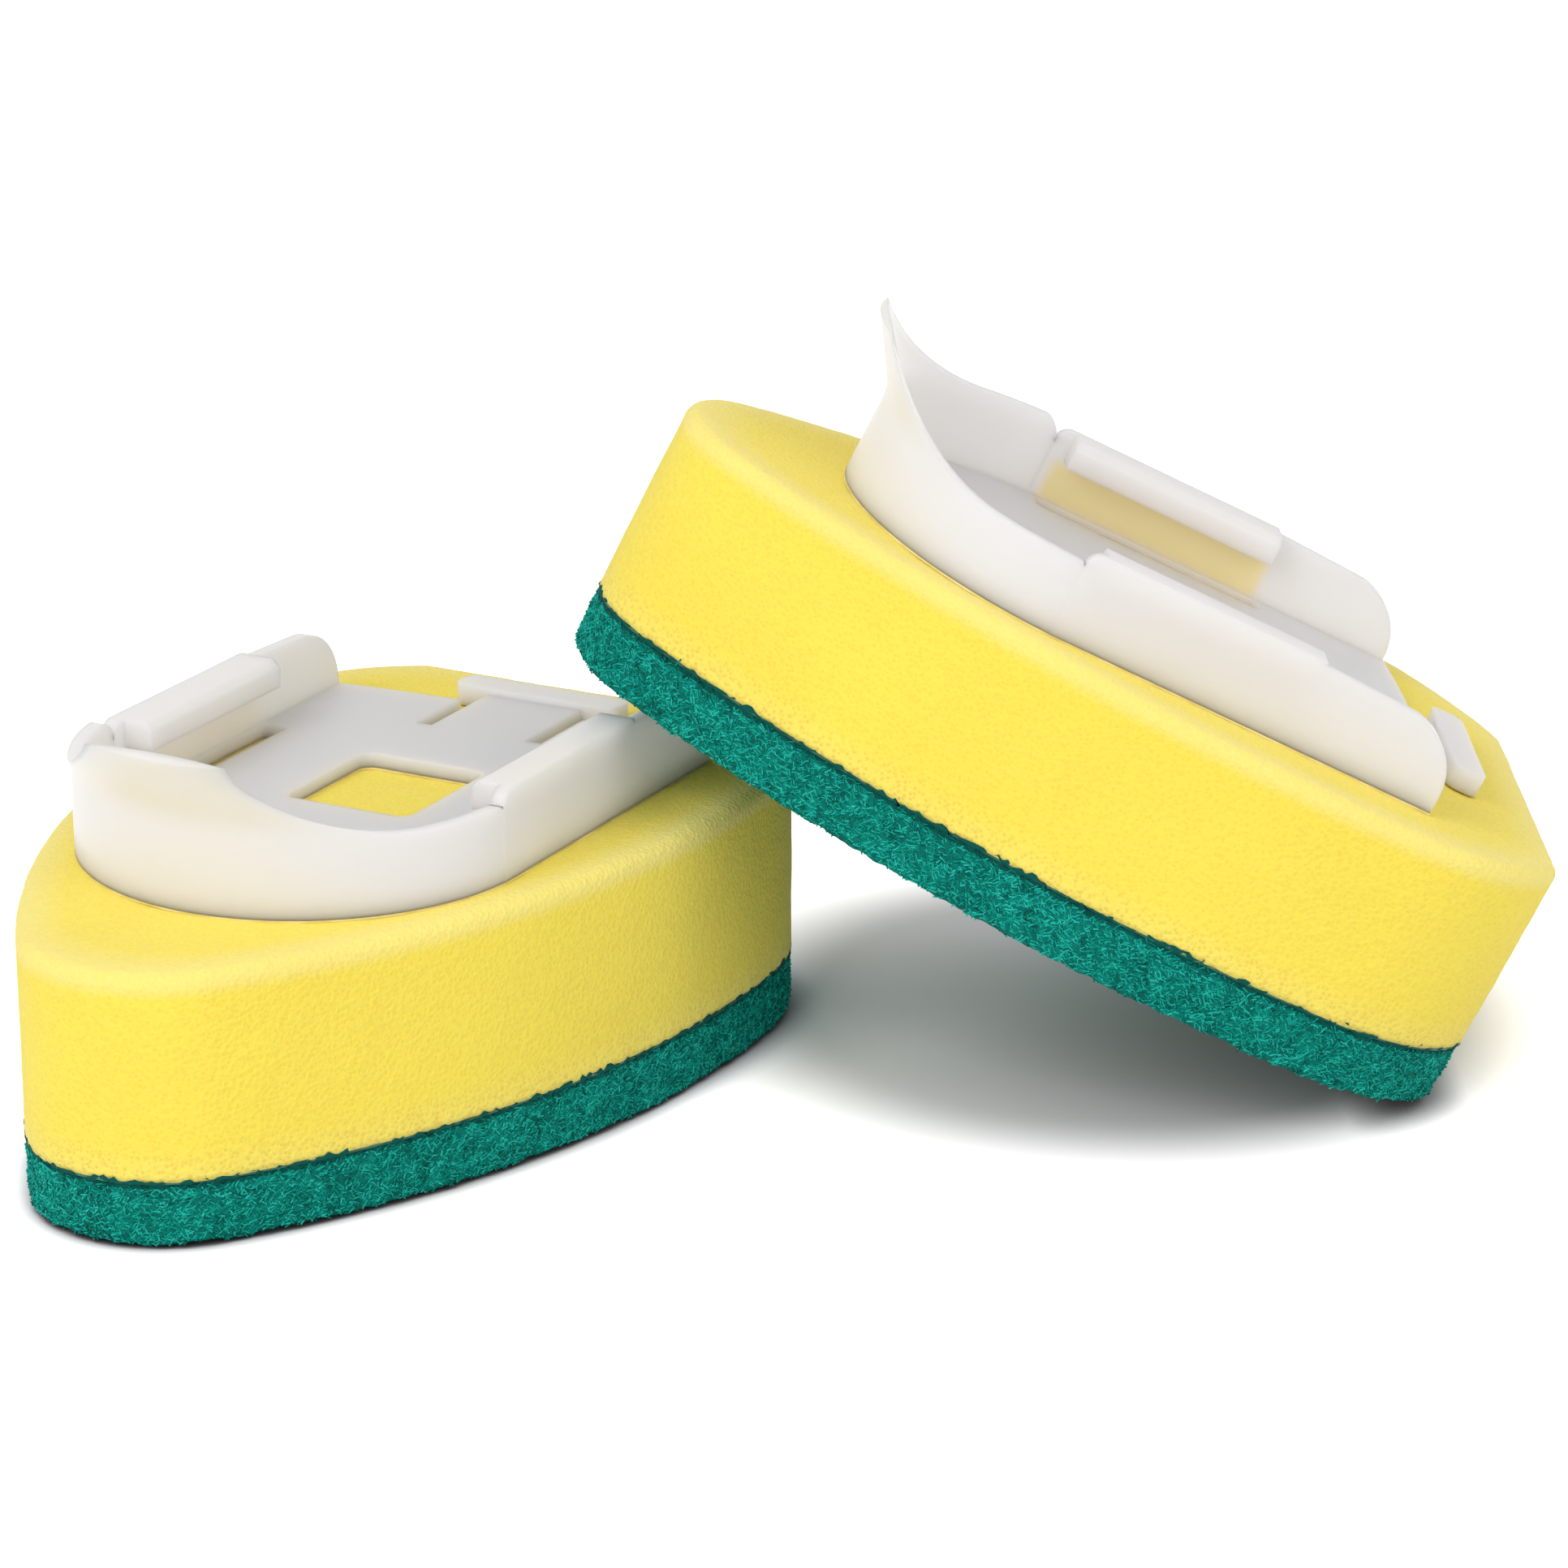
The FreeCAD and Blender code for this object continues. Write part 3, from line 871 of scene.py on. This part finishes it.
@dataclass(frozen=True)
class ScourFibres:
    """The lumps of a pad's web and the loose fibres over its sides and scouring face.

    A face is a side where the upright part of its normal is under side_limit, and belongs to the scouring
    face where it points down by more. Fibres keep off the seam, where rim_highlight_and_seam reaches seam_limit.
    """

    edge_lay: FibreLay = FibreLay("Edge Density", spin=1.2)
    face_lay: FibreLay = FibreLay("Face Density", spin=math.pi)
    side_limit: float = 0.6
    seam_limit: float = 0.9

    def fibre(
        self, tree: bpy.types.GeometryNodeTree, inputs: bpy.types.NodeOutputs
    ) -> bpy.types.NodeSocket:
        """Model one short fibre, three-sided and closed, along X with its middle at the origin.

        Args:
            tree: The geometry tree.
            inputs: The tree's inputs.

        Returns:
            The fibre's mesh.
        """
        half = calc(tree, "MULTIPLY", inputs["Fibre Length"], 0.5)
        back = calc(tree, "MULTIPLY", half, -1.0)
        start, end = (add_node(tree, "ShaderNodeCombineXYZ", {"X": to}).outputs[0] for to in (back, half))
        spine = add_node(tree, "GeometryNodeCurvePrimitiveLine", {"Start": start, "End": end})
        section = add_node(
            tree, "GeometryNodeCurvePrimitiveCircle", {"Resolution": 3, "Radius": inputs["Fibre Radius"]}
        )
        feeds = {"Curve": spine.outputs[0], "Profile Curve": section.outputs[0], "Fill Caps": True}
        return add_node(tree, "GeometryNodeCurveToMesh", feeds).outputs[0]

    def zones(self, tree: bpy.types.GeometryNodeTree) -> list[bpy.types.NodeSocket]:
        """Mark where fibres go: the sides off the seam, and the scouring face.

        Args:
            tree: The geometry tree.

        Returns:
            Both marks.
        """
        normal = add_node(tree, "GeometryNodeInputNormal").outputs[0]
        upward = add_node(tree, "ShaderNodeSeparateXYZ", {0: normal}).outputs["Z"]
        rim_and_seam = add_node(tree, "GeometryNodeInputNamedAttribute", {"Name": "rim_highlight_and_seam"}, data_type="FLOAT")
        side = below(tree, calc(tree, "ABSOLUTE", upward), self.side_limit)
        off_seam = below(tree, rim_and_seam.outputs["Attribute"], self.seam_limit)
        free_side = add_node(tree, "FunctionNodeBooleanMath", {0: side, 1: off_seam}, operation="AND")
        return [free_side.outputs[0], below(tree, upward, -self.side_limit)]

    def tree(self) -> bpy.types.GeometryNodeTree:
        """Build the tree that roughens the web and lays the fibres.

        Returns:
            The tree.
        """
        tree = new_node_group("scour_fibres", [
            ("Geometry", "NodeSocketGeometry", None),
            ("Fibre Length", "NodeSocketFloat", 0.8 * MM),
            ("Fibre Radius", "NodeSocketFloat", 0.09 * MM),
            ("Edge Density", "NodeSocketFloat", 12.0e6),
            ("Face Density", "NodeSocketFloat", 0.6e6),
            ("Lump Size", "NodeSocketFloat", 1.6 * MM),
            ("Lump Depth", "NodeSocketFloat", 0.9 * MM),
            ("Seed", "NodeSocketInt", 0),
            ("Web", "NodeSocketMaterial", None),
            ("Fibre", "NodeSocketMaterial", None),
        ])
        inputs = add_node(tree, "NodeGroupInput").outputs
        web = push_out(tree, inputs["Geometry"], swell(tree, inputs, "Lump", detail=2.0, level=0.6))
        fibre = self.fibre(tree, inputs)
        laid = [
            lay.lay(tree, inputs, web, zone, fibre)
            for lay, zone in zip((self.edge_lay, self.face_lay), self.zones(tree))
        ]
        lot = add_node(
            tree, "FunctionNodeRandomValue", {2: 0.0, 3: 1.0, "Seed": inputs["Seed"]}, data_type="FLOAT"
        )
        dyed = add_node(
            tree,
            "GeometryNodeStoreNamedAttribute",
            {"Geometry": join(tree, laid), "Name": "dye", "Value": lot.outputs[1]},
            data_type="FLOAT",
            domain="INSTANCE",
        )
        plain = add_node(tree, "GeometryNodeRealizeInstances", {"Geometry": dyed.outputs[0]}).outputs[0]
        pairs = ((plain, inputs["Fibre"]), (web, inputs["Web"]))
        whole = join(tree, [set_material(tree, shape, material) for shape, material in pairs])
        add_node(tree, "NodeGroupOutput", {"Geometry": whole})
        return tree


@dataclass
class FoamBlock:
    """The yellow foam of one head: straight cut sides and a softly rounded top rim."""

    outline: SpongeOutline
    low: float
    high: float
    rim_round: float = 1.3 * MM
    rim_highlight_reach: float = 1.2 * MM
    saw_reach: float = 3.5 * MM
    rim_highlight_most: float = 0.5
    sawn_paleness: float = 0.45
    top_highlight_reach: float = 0.1
    spacing: float = 0.55 * MM
    rim_steps: int = 7
    top_steps: int = 30
    squeezed_share: float = 0.6

    def rings(self) -> RingStack:
        """Lay out the block in the head's own frame.

        Returns:
            Its rings, from the pad up and then in to the middle of the top.
        """
        stack = RingStack()
        points, outward = self.outline.trace(self.spacing)
        rim_low = self.high - self.rim_round
        for height in np.linspace(self.low, rim_low, int((rim_low - self.low) / self.spacing)):
            # painted highlight rising towards the top rim; the face is also painted paler along the saw
            # cut
            rim_and_seam = max(0.0, 1 - (rim_low - height) / self.rim_highlight_reach)
            sawn = max(0.0, 1 - (height - self.low) / self.saw_reach)
            stack.add(points, height, self.rim_highlight_most * max(rim_and_seam, self.sawn_paleness * sawn), sawn)
        # the rounded rim carries the full painted highlight
        for turn in np.linspace(0, math.pi / 2, self.rim_steps)[1:]:
            inset = self.rim_round * (1 - math.cos(turn))
            rise = self.rim_round * math.sin(turn)
            stack.add(points - outward * inset, rim_low + rise, self.rim_highlight_most)
        inner = points - outward * self.rim_round
        middle = self.outline.middle()
        for share in np.linspace(0, 1, self.top_steps)[1:-1]:
            # the painted highlight fades inwards over the edge of the top
            rim_and_seam = self.rim_highlight_most * max(0.0, 1 - share / self.top_highlight_reach)
            stack.add(middle + (inner - middle) * (1 - share), self.high, rim_and_seam)
        return stack

    def build(
        self,
        head: Head,
        place: HeadPlace,
        tree: bpy.types.GeometryNodeTree,
        finish: bpy.types.Material,
    ) -> None:
        """Make the block, dress it and tie it to the frame.

        Args:
            head: Which head it belongs to.
            place: Where that head stands.
            tree: The tree that roughens cut foam.
            finish: The foam's material.
        """
        piece = self.rings().object(f"{head.value}_foam")
        settle(piece, tree, {"Seed": float(head.seed()), "Material": finish})
        piece.data.transform(place.matrix)
        piece.data.shade_smooth()
        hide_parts(f"{head.value}_foam_sponge")
        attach(piece, f"{head.value}_sponge")
        tuple(place.up())
        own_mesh(piece)
        log.info("%s: %d faces", piece.name, len(piece.data.polygons))


@dataclass
class ScourPad:
    """The green scouring pad of one head: a lumpy web with loose fibres round its edge and face.

    Its lower edge is rounded over, and its upper edge is pressed to the foam along a bare, dark seam.
    """

    outline: SpongeOutline
    low: float
    high: float
    fringe: float = 0.2 * MM
    flare: float = 0.1 * MM
    overlap: float = 0.3 * MM
    torn: float = 0.16 * MM
    seam: float = 0.45 * MM
    lower_round: float = 0.9 * MM
    tuck: float = 0.9
    spacing: float = 0.5 * MM
    face_steps: int = 16
    round_steps: int = 5
    side_steps: int = 12

    def rings(self) -> RingStack:
        """Lay out the web in the head's own frame.

        Returns:
            Its rings, from the middle of the scouring face out and up to the seam.
        """
        stack = RingStack()
        points, outward = self.outline.trace(self.spacing)
        edge = points - outward * self.fringe
        face = self.low + self.fringe
        inner = edge - outward * self.lower_round
        middle = self.outline.middle()
        for share in np.linspace(0, 1, self.face_steps)[1:]:
            stack.add(middle + (inner - middle) * share, face)
        for turn in np.linspace(0, math.pi / 2, self.round_steps)[1:]:
            inset = self.lower_round * (1 - math.sin(turn))
            rise = self.lower_round * (1 - math.cos(turn))
            stack.add(edge - outward * inset, face + rise)
        side = np.linspace(face + self.lower_round, self.high - self.fringe, self.side_steps)
        for height in side[1:]:
            stack.add(edge, height, float(height > self.high - self.seam))
        tears = np.random.default_rng(len(points)).normal(self.overlap, self.torn, len(points))
        for height in (self.high, self.high + tears):
            stack.add(points + outward * self.flare, height, 1.0)
        stack.add(middle + (edge - middle) * self.tuck, self.high - self.fringe)
        return stack

    def build(
        self,
        head: Head,
        place: HeadPlace,
        tree: bpy.types.GeometryNodeTree,
        web: bpy.types.Material,
        fibre: bpy.types.Material,
    ) -> None:
        """Make the pad, dress it and tie it to the frame.

        Args:
            head: Which head it belongs to.
            place: Where that head stands.
            tree: The tree that lays the fibres.
            web: The web's material.
            fibre: The loose fibres' material.
        """
        piece = self.rings().object(f"{head.value}_scouring_pad")
        settle(piece, tree, {"Seed": head.seed(), "Web": web, "Fibre": fibre})
        piece.data.transform(place.matrix)
        piece.data.shade_smooth()
        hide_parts(f"{head.value}_scour_pad")
        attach(piece, f"{head.value}_sponge")
        log.info("%s: %d faces", piece.name, len(piece.data.polygons))


@dataclass
class CarrierDress:
    """The finishes of the moulded carrier and the glue films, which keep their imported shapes."""

    plastic: MouldedPolypropylene
    carrier_glue: bpy.types.Material
    pad_glue: bpy.types.Material
    # how strongly each head's carrier shows the painted shade under its rails
    rail_shade_shares: dict[Head, float]

    def dress(self, head: Head, place: HeadPlace) -> None:
        """Give one head's rigid pieces their materials.

        Args:
            head: Which head.
            place: Where that head stands.
        """
        finishes = {
            "carrier_clip": self.plastic.material(head, place, self.rail_shade_shares[head]),
            "carrier_glue": self.carrier_glue,
            "pad_glue": self.pad_glue,
        }
        for piece, material in finishes.items():
            node = frame["nodes"][f"{head.value}_{piece}"]
            node.data.materials.clear()
            node.data.materials.append(material)
            log.info("%s keeps its shape", node.name)


@dataclass(frozen=True)
class SoftBox:
    """A square lamp, placed from the heads: to the camera's right, towards the camera, and up.

    Lengths are in metres and the power is in watts.
    """

    name: str
    aside: float
    toward: float
    up: float
    side: float
    power: float


@dataclass
class Studio:
    """A white table under soft light, seen from where the photograph was taken."""

    eye: tuple[float, float, float] = (-0.44102, -0.27908, 0.20845)
    ahead: tuple[float, float, float] = (0.83159, 0.43793, -0.34158)
    lens: float = 131.826
    sensor: float = 36.0
    axis_drop: float = 132
    near: float = 0.01
    table_side: float = 6.0
    focus: tuple[float, float, float] = (0.02, -0.035, 0.02)
    lamps: tuple[SoftBox, ...] = (
        SoftBox("key_box", aside=-0.4, toward=0.55, up=0.55, side=0.5, power=3.0),
        SoftBox("fill_box", aside=0.6, toward=0.45, up=0.4, side=0.6, power=1.2),
    )
    sky: float = 0.66
    paper: str = "F2F2F6"
    # painted shadow: the paper's colour at the core of the leaning head's shadow
    shaded_paper: str = "CDC7CA"
    # the colour of the painted contact shadow
    contact_shadow_grey: str = "6E6A6C"
    contact_shadow_reach: float = 0.004
    contact_shadow_span: tuple[float, float] = (0.3, 0.95)
    shadow_middle: tuple[float, float, float] = (0.052, -0.057, 0.0)
    shadow_reach: tuple[float, float] = (0.030, 0.052)
    shadow_core_middle: tuple[float, float, float] = (0.036, -0.075, 0.0)
    shadow_core_reach: tuple[float, float] = (0.0, 0.045)

    def camera(self) -> None:
        """Set the camera up at the photograph's viewing angle."""
        data = bpy.data.cameras.new("photo_camera")
        data.lens = self.lens
        data.sensor_width = self.sensor
        data.shift_y = self.axis_drop / IMAGE_SIDE
        data.clip_start = self.near
        camera = bpy.data.objects.new("photo_camera", data)
        ahead = Vector(self.ahead).normalized()
        right = ahead.cross(Vector((0, 0, 1))).normalized()
        turn = Matrix((right, right.cross(ahead), -ahead)).transposed()
        camera.matrix_world = Matrix.Translation(self.eye) @ turn.to_4x4()
        bpy.context.scene.collection.objects.link(camera)
        bpy.context.scene.camera = camera

    def lamp(self, box: SoftBox) -> None:
        """Hang a soft box that faces the heads.

        Args:
            box: The box.
        """
        data = bpy.data.lights.new(box.name, "AREA")
        data.size = box.side
        data.energy = box.power
        lamp = bpy.data.objects.new(box.name, data)
        ahead = Vector((self.ahead[0], self.ahead[1], 0)).normalized()
        right = ahead.cross(Vector((0, 0, 1)))
        focus = Vector(self.focus)
        spot = focus + right * box.aside - ahead * box.toward + Vector((0, 0, box.up))
        turn = (spot - focus).to_track_quat("Z", "Y").to_matrix().to_4x4()
        lamp.matrix_world = Matrix.Translation(spot) @ turn
        bpy.context.scene.collection.objects.link(lamp)

    def seen(self, tree: bpy.types.NodeTree) -> bpy.types.NodeSocket:
        """A switch that is on for what the camera sees, directly or through gloss and clear plastic.

        Args:
            tree: The tree that needs it.

        Returns:
            The switch's output.
        """
        rays = add_node(tree, "ShaderNodeLightPath").outputs
        seen = rays["Is Camera Ray"]
        for kind in ("Is Glossy Ray", "Is Transmission Ray"):
            seen = calc(tree, "MAXIMUM", seen, rays[kind])
        return seen

    def world(self) -> None:
        """Make the sky white to the eye and a plain fill light to the heads."""
        world = bpy.data.worlds.new("white_room")
        world.use_nodes = True
        tree = world.node_tree
        tree.nodes.clear()
        feeds = {"Factor": self.seen(tree), "A": self.sky, "B": 1.0}
        level = add_node(tree, "ShaderNodeMix", feeds, data_type="FLOAT").outputs["Result"]
        glow = add_node(tree, "ShaderNodeBackground", {"Color": (1, 1, 1, 1), "Strength": level})
        add_node(tree, "ShaderNodeOutputWorld", {"Surface": glow.outputs[0]})
        bpy.context.scene.world = world

    def far_from(
        self, tree: bpy.types.NodeTree, middle: tuple[float, float, float], reach: tuple[float, float]
    ) -> bpy.types.NodeSocket:
        """Measure how far a point of the table is from a middle.

        Args:
            tree: The table's tree.
            middle: The point to measure from.
            reach: The distances at which the result leaves zero and comes to one.

        Returns:
            The output, from zero to one.
        """
        ends = {0: object_point(tree), 1: middle}
        away = add_node(tree, "ShaderNodeVectorMath", ends, operation="DISTANCE").outputs["Value"]
        return remap(tree, away, reach, shape="SMOOTHSTEP")

    def paper_shades(self, tree: bpy.types.NodeTree) -> None:
        """Shade the paper: white to the eye, but for the leaning head's shadow, which is painted darker at
        its core, and for painted contact shadows where the heads meet it.

        Args:
            tree: The empty tree of the paper's material.
        """
        # painted contact shadows: the paper is darkened where occlusion is close, and kept from lifting to
        # white
        closed = add_node(
            tree, "ShaderNodeAmbientOcclusion", {"Distance": self.contact_shadow_reach}, samples=8
        ).outputs["AO"]
        clear = remap(tree, closed, self.contact_shadow_span)
        # painted shadow: the paper turns grey towards the core of the leaning head's shadow
        off_shadow_core = self.far_from(tree, self.shadow_core_middle, self.shadow_core_reach)
        tone = blend(tree, off_shadow_core, linear(self.shaded_paper), linear(self.paper))
        contact_shadowed = blend(tree, clear, linear(self.contact_shadow_grey), tone)
        paper = add_node(tree, "ShaderNodeBsdfDiffuse", {"Color": contact_shadowed})
        lift = clear
        for share in (self.seen(tree), self.far_from(tree, self.shadow_middle, self.shadow_reach)):
            lift = calc(tree, "MULTIPLY", lift, share)
        shine = add_node(tree, "ShaderNodeEmission", {"Strength": lift})
        both = add_node(tree, "ShaderNodeAddShader", {0: paper.outputs[0], 1: shine.outputs[0]})
        add_node(tree, "ShaderNodeOutputMaterial", {"Surface": both.outputs[0]})

    def table(self) -> None:
        """Lay the white table."""
        half = self.table_side / 2
        corners = [(-half, -half, 0), (half, -half, 0), (half, half, 0), (-half, half, 0)]
        mesh = bpy.data.meshes.new("table")
        mesh.from_pydata(corners, [], [(0, 1, 2, 3)])
        table = bpy.data.objects.new("table", mesh)
        bpy.context.scene.collection.objects.link(table)
        material, tree = blank_material("white_table_paper")
        self.paper_shades(tree)
        mesh.materials.append(material)

    def build(self) -> None:
        """Set up the camera, the lamps, the sky and the table."""
        self.camera()
        for box in self.lamps:
            self.lamp(box)
        self.world()
        self.table()
        bpy.context.scene.view_settings.view_transform = "Standard"
        log.info("studio is set")


def main() -> None:
    """Build and dress the pieces in order."""
    logging.basicConfig(level=logging.INFO, format="%(name)s %(message)s")
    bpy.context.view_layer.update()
    Studio().build()
    low, high = (Vector(corner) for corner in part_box("resting_foam_sponge"))
    pad_low, pad_high = (Vector(corner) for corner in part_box("resting_scour_pad"))
    outline = SpongeOutline(length=high.x - low.x, width=high.y - low.y)
    foam = FoamBlock(outline, low.z, high.z)
    pad = ScourPad(outline, pad_low.z, pad_high.z)
    foam_finish = OpenCellFoam().material()
    web = NylonScour().material("nylon_scouring_web", lightness=0.05)
    fibre = NylonScour().material("nylon_scouring_fibre", lightness=0.0)
    carrier = CarrierDress(
        plastic=MouldedPolypropylene(),
        carrier_glue=HotMeltGlue(clear="F2E3A8", cloudy="DCC878").material("honey_hot_melt_glue"),
        pad_glue=HotMeltGlue(clear="1C6B50", cloudy="0C4A38").material("soaked_hot_melt_glue"),
        # painted shade under the rails: full on the leaning head, faint on the resting one
        rail_shade_shares={Head.RESTING: 0.15, Head.LEANING: 1.0},
    )
    foam_tree = foam_grain_tree()
    fibre_tree = ScourFibres().tree()
    for head in Head:
        place = HeadPlace.of(head)
        foam.build(head, place, foam_tree, foam_finish)
        pad.build(head, place, fibre_tree, web, fibre)
        carrier.dress(head, place)


if __name__ == "__main__":
    main()
